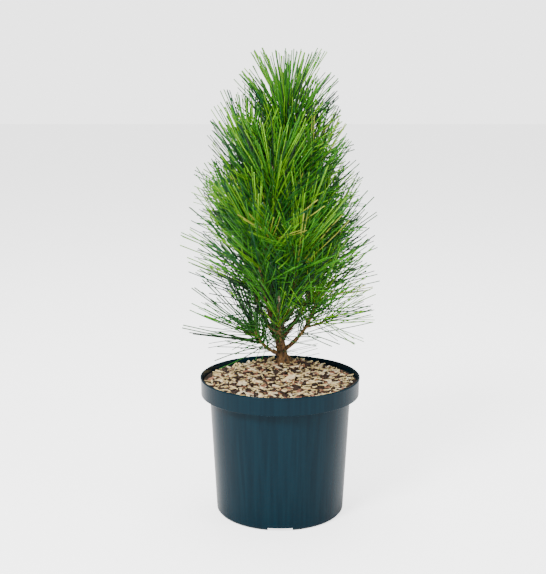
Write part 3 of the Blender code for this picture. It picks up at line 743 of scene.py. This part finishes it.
stem_mesh = bmesh.new()
carriers = []
for number, ((_, _, _, _, needle, twigs), shoot) in enumerate(zip(SHOOTS.values(), shoots)):
    rng = random.Random(TWIG_SEED + number)
    bare_length = shoot.length * BARE_SHARE
    add_limb(stem_mesh, shoot, stem_radius, STEM_SIDES, PEG_SPACING, PEG_DEPTH, start=bare_length)
    carriers.append((shoot, BARE_SHARE, needle, number))
    for fork in range(twigs):
        twig = side_twig(shoot, FIRST_TWIG + TWIG_SPACING * fork, rng.uniform(0, math.tau))
        add_limb(stem_mesh, twig, twig_radius, TWIG_SIDES, PEG_SPACING, TWIG_PEG_DEPTH)
        carriers.append((twig, TWIG_BARE_SHARE, needle * TWIG_NEEDLE_SHARE, number))
green_bark = mottled(
    "green_bark", light=(0.30, 0.19, 0.060), dark=(0.070, 0.038, 0.014), scale=500, roughness=0.85, bump=0.7
)
masses = [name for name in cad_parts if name.startswith("needles_")]
give_piece(new_object("shoot_stems", stem_mesh), green_bark, "bark", *masses)


# Needles: stiff, slightly bowed, in pairs that share a foot, 80 to 98 mm long on the shoots and
# shorter on twigs and the old wood. They stand wide at a shoot's foot and close up to its tip.
# Fresh ones are yellow-green. The near-black shade tint is painted shade, dealt out most deep and low in the
# crown, so the old needles at the trunk's foot come out nearly black; the sunlit tint is painted light, most
# common up the crown and out along the shoots.
PAIRS_PER_METRE = 980
OPENING_AT_FOOT = math.radians(54)
OPENING_AT_TIP = math.radians(20)
SHOOT_CLOSING = 1.5
CROWDING = 0.66
LOW_SHOOTS = 4
LOW_SHOOT_DENSITY = 0.80
SHOOT_SEED_STEP = 31
LEADER_PAIRS = 290
LEADER_NEEDLE = 0.084
LEADER_FOOT_SHARE = 0.42
LEADER_OPENING_AT_FOOT = math.radians(60)
LEADER_OPENING_AT_TIP = math.radians(23)
LEADER_CLOSING = 2.2
LEADER_SEED = 90
OLD_PAIRS = 150
OLD_NEEDLE = 0.050
OLD_FOOT_SHARE = 0.03
OLD_OPENINGS = (math.radians(74), math.radians(46))
OLD_CLOSING = 1
OLD_STEPS = 20
OLD_SEED = 91
NEEDLE_RADIUS = 0.00068
NEEDLE_SIDES = 3
NEEDLE_STEPS = 4
NEEDLE_BOW = 0.035
NEEDLE_TAPER = 0.85
NEEDLE_TAPER_POWER = 3
PAIR_ANGLE = math.radians(7)
SPIN_SEED = 60
NEEDLE_SHORTEST = 0.86
NEEDLE_LONGEST = 1.02
OPENING_SPREAD = 0.15
WAY_SPREAD = 0.05
TRIM = 0.93
LEAST_TRIMMED = 0.5
LOWEST_OVER_MULCH = 0.1790
LOWEST_OVER_RIM = 0.1900
PAIRS_PER_SPRAY = 5
# Painted light: the sunlit tint gains and the shade tint loses along a shoot and up the crown, from this
# height over this rise.
LIGHT_ALONG_SHOOT = 0.35
LIGHT_UP_CROWN = 0.9
LIGHT_FROM_HEIGHT = 0.20
LIGHT_OVER_HEIGHT = 0.24
DARKER = 0.70
# Each tint: its colour, and how common it is deep in the crown and out in the light. Sunlit is painted light
# and shade is painted shade.
TINTS = {
    "sunlit": ((0.200, 0.520, 0.008), 0.04, 0.25),
    "fresh": ((0.065, 0.330, 0.008), 0.20, 0.34),
    "deep": ((0.014, 0.130, 0.009), 0.33, 0.26),
    "shade": ((0.003, 0.028, 0.006), 0.30, 0.09),
    "bluish": ((0.008, 0.100, 0.034), 0.15, 0.03),
    "straw": ((0.560, 0.600, 0.080), 0.01, 0.02),
}


def needle_tree():
    """Geometry nodes that set a pair of tapered, bowed needles on every point, along its way."""
    inputs = {
        "Geometry": "Geometry",
        "Needle Radius": "Float",
        "Bow": "Float",
        "Pair Angle": "Float",
        "Seed": "Int",
        "Finish": "Material",
    }
    tree, entry, leave = new_tree("needle_pairs", "GeometryNodeTree", inputs, {"Geometry": "Geometry"})
    nodes, links = tree.nodes, tree.links
    middle = nodes.new("ShaderNodeCombineXYZ")
    middle.inputs["Z"].default_value = 0.5
    arc = nodes.new("GeometryNodeCurveQuadraticBezier")
    arc.inputs["Resolution"].default_value = NEEDLE_STEPS
    arc.inputs["Start"].default_value = (0, 0, 0)
    arc.inputs["End"].default_value = (0, 0, 1)
    along = nodes.new("GeometryNodeSplineParameter")
    taper = nodes.new("ShaderNodeMath")
    taper.operation = "POWER"
    taper.inputs[1].default_value = NEEDLE_TAPER_POWER
    thin = nodes.new("ShaderNodeMath")
    thin.operation = "MULTIPLY_ADD"
    thin.inputs[1].default_value = -NEEDLE_TAPER
    thin.inputs[2].default_value = 1
    width = nodes.new("GeometryNodeSetCurveRadius")
    section = nodes.new("GeometryNodeCurvePrimitiveCircle")
    section.inputs["Resolution"].default_value = NEEDLE_SIDES
    blade = nodes.new("GeometryNodeCurveToMesh")
    blade.inputs["Fill Caps"].default_value = True
    half = nodes.new("ShaderNodeMath")
    half.operation = "MULTIPLY"
    half.inputs[1].default_value = 0.5
    lean = nodes.new("ShaderNodeCombineXYZ")
    lean_back = nodes.new("ShaderNodeCombineXYZ")
    lean_back.inputs["Z"].default_value = math.pi
    first = nodes.new("GeometryNodeTransform")
    second = nodes.new("GeometryNodeTransform")
    pair = nodes.new("GeometryNodeJoinGeometry")
    way = nodes.new("GeometryNodeInputNamedAttribute")
    way.data_type = "FLOAT_VECTOR"
    way.inputs["Name"].default_value = "way"
    reach = nodes.new("GeometryNodeInputNamedAttribute")
    reach.inputs["Name"].default_value = "reach"
    spin = nodes.new("FunctionNodeRandomValue")
    spin.data_type = "FLOAT_VECTOR"
    spin.inputs["Max"].default_value = (0, 0, math.tau)
    aim = nodes.new("FunctionNodeAlignRotationToVector")
    aim.axis = "Z"
    stand = nodes.new("GeometryNodeInstanceOnPoints")
    realize = nodes.new("GeometryNodeRealizeInstances")
    paint = nodes.new("GeometryNodeSetMaterial")
    links.new(entry.outputs["Bow"], middle.inputs["X"])
    links.new(middle.outputs["Vector"], arc.inputs["Middle"])
    links.new(along.outputs["Factor"], taper.inputs[0])
    links.new(taper.outputs[0], thin.inputs[0])
    links.new(arc.outputs["Curve"], width.inputs["Curve"])
    links.new(thin.outputs[0], width.inputs["Radius"])
    links.new(entry.outputs["Needle Radius"], section.inputs["Radius"])
    links.new(width.outputs["Curve"], blade.inputs["Curve"])
    links.new(section.outputs["Curve"], blade.inputs["Profile Curve"])
    links.new(entry.outputs["Pair Angle"], half.inputs[0])
    for turned, leaning in ((first, lean), (second, lean_back)):
        links.new(half.outputs[0], leaning.inputs["Y"])
        links.new(blade.outputs["Mesh"], turned.inputs["Geometry"])
        links.new(leaning.outputs["Vector"], turned.inputs["Rotation"])
        links.new(turned.outputs["Geometry"], pair.inputs["Geometry"])
    links.new(entry.outputs["Seed"], spin.inputs["Seed"])
    links.new(spin.outputs["Value"], aim.inputs["Rotation"])
    links.new(way.outputs["Attribute"], aim.inputs["Vector"])
    links.new(entry.outputs["Geometry"], stand.inputs["Points"])
    links.new(pair.outputs["Geometry"], stand.inputs["Instance"])
    links.new(aim.outputs["Rotation"], stand.inputs["Rotation"])
    links.new(reach.outputs["Attribute"], stand.inputs["Scale"])
    links.new(stand.outputs["Instances"], realize.inputs["Geometry"])
    links.new(realize.outputs["Geometry"], paint.inputs["Geometry"])
    links.new(entry.outputs["Finish"], paint.inputs["Material"])
    links.new(paint.outputs["Geometry"], leave.inputs["Geometry"])
    return tree


sprays = {tint: [] for tint in TINTS}


def fits(tip):
    """True if a needle's tip is inside the plant's box and clear of the mulch and the rim."""
    reach = math.hypot(tip.x, tip.y)
    lowest = LOWEST_OVER_RIM if reach > CHIP_BED_RADIUS else LOWEST_OVER_MULCH
    inside = all(low < part < high for low, part, high in zip(cad_low, tip, cad_high))
    return inside and tip.z > lowest


def clothe(path, start, count, needle, openings, closing, rng):
    """Needle pairs in a spiral along the path, their tint dealt out by spray, with painted light up the
    crown and out along it.
    """
    turn = rng.uniform(0, math.tau)
    for number in range(count):
        share = (number / count) ** CROWDING
        distance = path.length * (start + (1 - start) * share)
        place, along = path.at(distance)
        turn += GOLDEN_ANGLE
        outward = path.across(distance, turn)
        opening = openings[0] + (openings[1] - openings[0]) * share**closing
        opening += rng.gauss(0, OPENING_SPREAD)
        way = along * math.cos(opening) + outward * math.sin(opening)
        way = (way + Vector([rng.gauss(0, WAY_SPREAD) for _ in range(3)])).normalized()
        length = needle * rng.uniform(NEEDLE_SHORTEST, NEEDLE_LONGEST)
        if number % PAIRS_PER_SPRAY == 0:
            # Painted light and shade: a spray higher up and further out more often takes the sunlit tint,
            # one lower and deeper in the shade tint.
            height_share = smoothstep((place.z - LIGHT_FROM_HEIGHT) / LIGHT_OVER_HEIGHT)
            bright = min(LIGHT_ALONG_SHOOT * share + LIGHT_UP_CROWN * height_share, 1)
            weights = [deep + (out - deep) * bright for _, deep, out in TINTS.values()]
            tint = rng.choices(list(TINTS), weights)[0]
        while length > needle * LEAST_TRIMMED and not fits(place + way * length):
            length *= TRIM
        if fits(place + way * length):
            sprays[tint].append((place, way, length))


for carrier, start, needle, number in carriers:
    density = PAIRS_PER_METRE * (LOW_SHOOT_DENSITY if number < LOW_SHOOTS else 1)
    count = int(carrier.length * (1 - start) * density)
    rng = random.Random(number * SHOOT_SEED_STEP + count)
    clothe(carrier, start, count, needle, (OPENING_AT_FOOT, OPENING_AT_TIP), SHOOT_CLOSING, rng)
openings = (LEADER_OPENING_AT_FOOT, LEADER_OPENING_AT_TIP)
rng = random.Random(LEADER_SEED)
clothe(leader, LEADER_FOOT_SHARE, LEADER_PAIRS, LEADER_NEEDLE, openings, LEADER_CLOSING, rng)
old_wood = leader.first(LEADER_FOOT_SHARE, OLD_STEPS)
rng = random.Random(OLD_SEED)
clothe(old_wood, OLD_FOOT_SHARE, OLD_PAIRS, OLD_NEEDLE, OLD_OPENINGS, OLD_CLOSING, rng)
needle_pairs = needle_tree()
for number, (tint, (colour, _, _)) in enumerate(TINTS.items()):
    mesh = bpy.data.meshes.new("needles_" + tint)
    mesh.from_pydata([place for place, _, _ in sprays[tint]], [], [])
    ways = mesh.attributes.new("way", "FLOAT_VECTOR", "POINT")
    ways.data.foreach_set("vector", [part for _, way, _ in sprays[tint] for part in way])
    reaches = mesh.attributes.new("reach", "FLOAT", "POINT")
    reaches.data.foreach_set("value", [length for _, _, length in sprays[tint]])
    needles = add_object("needles_" + tint, mesh)
    waxy = mottled("waxy_" + tint, colour, [part * DARKER for part in colour], scale=90, roughness=0.38)
    values = {"Needle Radius": NEEDLE_RADIUS / LEADER_NEEDLE, "Bow": NEEDLE_BOW, "Pair Angle": PAIR_ANGLE}
    grow_nodes(needles, needle_pairs, {**values, "Seed": SPIN_SEED + number, "Finish": waxy})
    give_piece(needles, waxy, "needles", *masses)


# Ground and light: a white studio floor and room, a soft key light on the left, a weaker fill on
# the right, one overhead and one low in front. What the camera sees of the floor and the room is
# brighter than the light they cast, as a backdrop is that is lit on its own.
FLOOR_HALF = 8.0
FLOOR_GLOW = 2.4
ROOM_LIGHT = 0.35
BACKDROP_LIGHT = 3.95
LIGHT_AIM = Vector((0, 0, 0.3))
# Each light: its place, its width and height, and its power.
LIGHTS = {
    "key": ((-1.1, -1.6, 2.0), (0.7, 0.7), 95),
    "fill": ((1.8, -1.0, 1.3), (1.0, 1.0), 20),
    "top": ((0, 0.4, 2.4), (1.0, 1.0), 55),
    "front": ((0.1, -2.4, 1.0), (0.7, 1.5), 14),
}


def studio_light(name, place, size, power):
    """A soft rectangular light that faces the plant."""
    data = bpy.data.lights.new(name, "AREA")
    data.shape = "RECTANGLE"
    data.size, data.size_y = size
    data.energy = power
    lamp = add_object(name, data)
    lamp.location = place
    lamp.rotation_euler = (LIGHT_AIM - Vector(place)).to_track_quat("-Z", "Y").to_euler()


corners = ((-1, -1), (1, -1), (1, 1), (-1, 1))
floor_mesh = bpy.data.meshes.new("floor")
floor_mesh.from_pydata([(x * FLOOR_HALF, y * FLOOR_HALF, 0) for x, y in corners], [], [(0, 1, 2, 3)])
floor = add_object("floor", floor_mesh)
floor_paint = mottled(
    "studio_white", light=(0.97, 0.97, 0.97), dark=(0.95, 0.95, 0.95), scale=3, roughness=0.9, shine=0.0
)
paint_nodes, paint_links = floor_paint.node_tree.nodes, floor_paint.node_tree.links
paint_shader = paint_nodes["Principled BSDF"]
paint_shader.inputs["Emission Color"].default_value = (1, 1, 1, 1)
floor_ray = paint_nodes.new("ShaderNodeLightPath")
floor_glow = paint_nodes.new("ShaderNodeMath")
floor_glow.operation = "MULTIPLY"
floor_glow.inputs[1].default_value = FLOOR_GLOW
paint_links.new(floor_ray.outputs["Is Camera Ray"], floor_glow.inputs[0])
paint_links.new(floor_glow.outputs[0], paint_shader.inputs["Emission Strength"])
floor_mesh.materials.append(floor_paint)
for name, (place, size, power) in LIGHTS.items():
    studio_light(name, place, size, power)
world = bpy.data.worlds.new("studio")
world.use_nodes = True
world_nodes, world_links = world.node_tree.nodes, world.node_tree.links
room = world_nodes["Background"]
room.inputs["Color"].default_value = (1, 1, 1, 1)
room.inputs["Strength"].default_value = ROOM_LIGHT
backdrop = world_nodes.new("ShaderNodeBackground")
backdrop.inputs["Strength"].default_value = BACKDROP_LIGHT
room_ray = world_nodes.new("ShaderNodeLightPath")
either = world_nodes.new("ShaderNodeMixShader")
world_links.new(room_ray.outputs["Is Camera Ray"], either.inputs[0])
world_links.new(room.outputs[0], either.inputs[1])
world_links.new(backdrop.outputs[0], either.inputs[2])
world_links.new(either.outputs[0], world_nodes["World Output"].inputs["Surface"])
bpy.context.scene.world = world


# Camera: it stands in front of the pot at the height of the leader's tip, and looks down a
# little, as in the photograph.
PHOTO_HEIGHT = 574
CAMERA_PLACE = (-0.0084, -1.324, 0.5398)
CAMERA_DOWN = 0.1986
CAMERA_FOCAL_PIXELS = 1149.6
camera_data = bpy.data.cameras.new("camera")
camera_data.lens = CAMERA_FOCAL_PIXELS * camera_data.sensor_width / PHOTO_HEIGHT
camera = add_object("camera", camera_data)
camera.location = CAMERA_PLACE
camera.rotation_euler = (math.pi / 2 - CAMERA_DOWN, 0, 0)
bpy.context.scene.camera = camera
